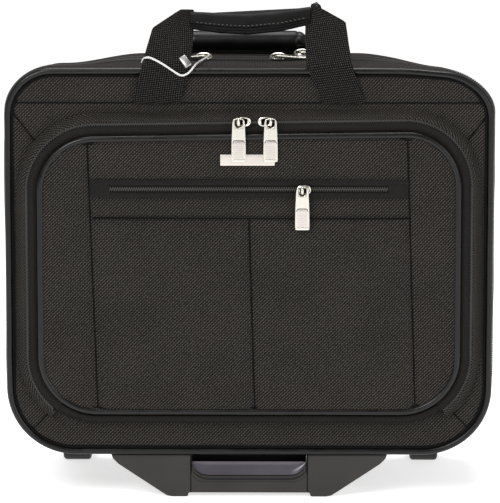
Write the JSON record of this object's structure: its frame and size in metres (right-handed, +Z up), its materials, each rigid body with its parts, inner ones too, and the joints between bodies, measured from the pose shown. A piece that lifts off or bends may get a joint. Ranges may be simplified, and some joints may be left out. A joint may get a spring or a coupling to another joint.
{
  "type": "rolling laptop case",
  "caption": "Soft-sided wheeled laptop case with a hinged front section, zipped front pocket, carry handles, telescoping handle, rear wheels and a moulded front foot.",
  "frame": {"origin": "on the floor, under the middle of the case's bounding box", "axes": "+X across the case to the right as seen from the front, +Y from the front pocket to the back with the wheels, +Z up"},
  "size_m": [0.419, 0.2011, 0.4248],
  "materials": {
    "case_fabric": "ballistic nylon weave",
    "piping": "satin vinyl",
    "zipper_tape": "woven tape with coil teeth",
    "lining_fabric": "plain polyester",
    "webbing": "herringbone webbing",
    "leather": "semi-gloss",
    "tube_aluminium": "anodised satin",
    "moulded_plastic": "satin",
    "gloss_plastic": "glossy",
    "axle_steel": "plain",
    "bright_metal": "satin nickel",
    "tag_elastic": "white elastic",
    "tyre_rubber": "polyurethane"
  },
  "bodies": {
    "case_body": {"bottom_gusset": "case_fabric", "mid_gusset": "case_fabric", "rear_gusset": "case_fabric", "back_board": "case_fabric", "rear_piping": "piping", "main_zipper_tape_rear": "zipper_tape", "rear_zipper_tape": "zipper_tape", "compartment_wall": "lining_fabric", "lining_board": "lining_fabric", "trolley_outer_tubes": "tube_aluminium", "trolley_bracket": "moulded_plastic", "trolley_bezel": "moulded_plastic", "rear_strap_anchors": "webbing", "front_foot": "moulded_plastic", "grip_scoop": "gloss_plastic", "wheel_housing_left": "moulded_plastic", "wheel_housing_right": "moulded_plastic", "wheel_axles": "axle_steel"},
    "front_section": {"front_board": "case_fabric", "front_gusset": "case_fabric", "front_piping": "piping", "main_zipper_tape_front": "zipper_tape", "pocket_zipper_tape": "zipper_tape", "organiser_panel": "lining_fabric", "front_strap_anchors": "webbing"},
    "pocket_flap": {"pocket_panel": "case_fabric", "pocket_gusset": "case_fabric", "pocket_piping": "piping", "small_zipper_tape": "zipper_tape", "nameplate": "bright_metal"},
    "carry_handle_front": {"front_strap_left": "webbing", "front_strap_right": "webbing", "front_grip": "leather", "tag_cord": "tag_elastic", "tag_crimp": "bright_metal"},
    "carry_handle_rear": {"rear_straps": "webbing", "rear_grip": "leather"},
    "trolley_middle": {"middle_tubes": "tube_aluminium", "middle_collars": "moulded_plastic"},
    "trolley_inner": {"inner_tubes": "tube_aluminium", "trolley_grip": "moulded_plastic"},
    "trolley_release": {"release_button": "moulded_plastic", "push_rods": "axle_steel"},
    "wheel_left": {"wheel_tyre_left": "tyre_rubber", "wheel_hub_left": "moulded_plastic"},
    "wheel_right": {"wheel_tyre_right": "tyre_rubber", "wheel_hub_right": "moulded_plastic"},
    "file_divider": {"file_divider": "lining_fabric"},
    "front_slider_left": {"front_slider_left": "bright_metal"},
    "front_slider_right": {"front_slider_right": "bright_metal"},
    "front_pull_left": {"front_pull_left": "bright_metal"},
    "front_pull_right": {"front_pull_right": "bright_metal"},
    "small_slider": {"small_slider": "bright_metal"},
    "small_pull": {"small_pull": "bright_metal"},
    "main_slider_left": {"main_slider_left": "bright_metal"},
    "main_slider_right": {"main_slider_right": "bright_metal"},
    "main_pull_left": {"main_pull_left": "bright_metal"},
    "main_pull_right": {"main_pull_right": "bright_metal"},
    "rear_slider": {"rear_slider": "bright_metal"},
    "rear_pull": {"rear_pull": "bright_metal"}
  },
  "joints": [
    {"name": "front_section_hinge", "type": "hinge", "parent": "case_body", "child": "front_section", "pos_m": [0, -0.075, 0.041], "axis": [1, 0, 0], "range_deg": [0, 70]},
    {"name": "pocket_flap_hinge", "type": "hinge", "parent": "front_section", "child": "pocket_flap", "pos_m": [0, -0.081, 0.0755], "axis": [1, 0, 0], "range_deg": [0, 60]},
    {"name": "front_handle_hinge", "type": "hinge", "parent": "front_section", "child": "carry_handle_front", "pos_m": [0, -0.08, 0.351], "axis": [1, 0, 0], "range_deg": [0, 110]},
    {"name": "rear_handle_lift", "type": "slide", "parent": "case_body", "child": "carry_handle_rear", "axis": [0, 0, 1], "range_m": [0, 0.03], "deforming": ["rear_straps"]},
    {"name": "trolley_middle_slide", "type": "slide", "parent": "case_body", "child": "trolley_middle", "axis": [0, 0, 1], "range_m": [0, 0.26]},
    {"name": "trolley_inner_slide", "type": "slide", "parent": "trolley_middle", "child": "trolley_inner", "axis": [0, 0, 1], "range_m": [0, 0.26]},
    {"name": "trolley_release_press", "type": "slide", "parent": "trolley_inner", "child": "trolley_release", "axis": [0, 0, -1], "range_m": [0, 0.004], "stiffness_N_per_m": 800, "springref_m": -0.002},
    {"name": "wheel_left_spin", "type": "hinge", "parent": "case_body", "child": "wheel_left", "pos_m": [-0.157, 0.0765, 0.024], "axis": [1, 0, 0], "continuous": true},
    {"name": "wheel_right_spin", "type": "hinge", "parent": "case_body", "child": "wheel_right", "pos_m": [0.157, 0.0765, 0.024], "axis": [1, 0, 0], "continuous": true},
    {"name": "file_divider_tilt", "type": "hinge", "parent": "case_body", "child": "file_divider", "pos_m": [0, -0.029, 0.05], "axis": [1, 0, 0], "range_deg": [-6, 6]},
    {"name": "front_slider_left_run", "type": "slide", "parent": "pocket_flap", "child": "front_slider_left", "axis": [1, 0, 0], "range_m": [-0.12, 0.012]},
    {"name": "front_slider_right_run", "type": "slide", "parent": "pocket_flap", "child": "front_slider_right", "axis": [1, 0, 0], "range_m": [-0.012, 0.11]},
    {"name": "small_slider_run", "type": "slide", "parent": "pocket_flap", "child": "small_slider", "axis": [1, 0, 0], "range_m": [-0.155, 0.062]},
    {"name": "main_slider_left_run", "type": "slide", "parent": "case_body", "child": "main_slider_left", "axis": [1, 0, 0], "range_m": [-0.11, 0.045]},
    {"name": "main_slider_right_run", "type": "slide", "parent": "case_body", "child": "main_slider_right", "axis": [1, 0, 0], "range_m": [-0.045, 0.11]},
    {"name": "rear_slider_run", "type": "slide", "parent": "case_body", "child": "rear_slider", "axis": [1, 0, 0], "range_m": [-0.17, 0.075]},
    {"name": "front_pull_left_swing", "type": "hinge", "parent": "front_slider_left", "child": "front_pull_left", "pos_m": [-0.0088, -0.0918, 0.3305], "axis": [-1, 0, 0], "range_deg": [0, 150]},
    {"name": "front_pull_right_swing", "type": "hinge", "parent": "front_slider_right", "child": "front_pull_right", "pos_m": [0.0184, -0.0918, 0.3305], "axis": [-1, 0, 0], "range_deg": [0, 150]},
    {"name": "small_pull_swing", "type": "hinge", "parent": "small_slider", "child": "small_pull", "pos_m": [0.0455, -0.0967, 0.2726], "axis": [-1, 0, 0], "range_deg": [0, 150]},
    {"name": "main_pull_left_swing", "type": "hinge", "parent": "main_slider_left", "child": "main_pull_left", "pos_m": [-0.04, -0.012, 0.3809], "axis": [0, 1, 0], "range_deg": [0, 165]},
    {"name": "main_pull_right_swing", "type": "hinge", "parent": "main_slider_right", "child": "main_pull_right", "pos_m": [0.025, -0.012, 0.3809], "axis": [0, -1, 0], "range_deg": [0, 165]},
    {"name": "rear_pull_swing", "type": "hinge", "parent": "rear_slider", "child": "rear_pull", "pos_m": [0.046, 0.018, 0.3809], "axis": [0, -1, 0], "range_deg": [0, 165]}
  ]
}
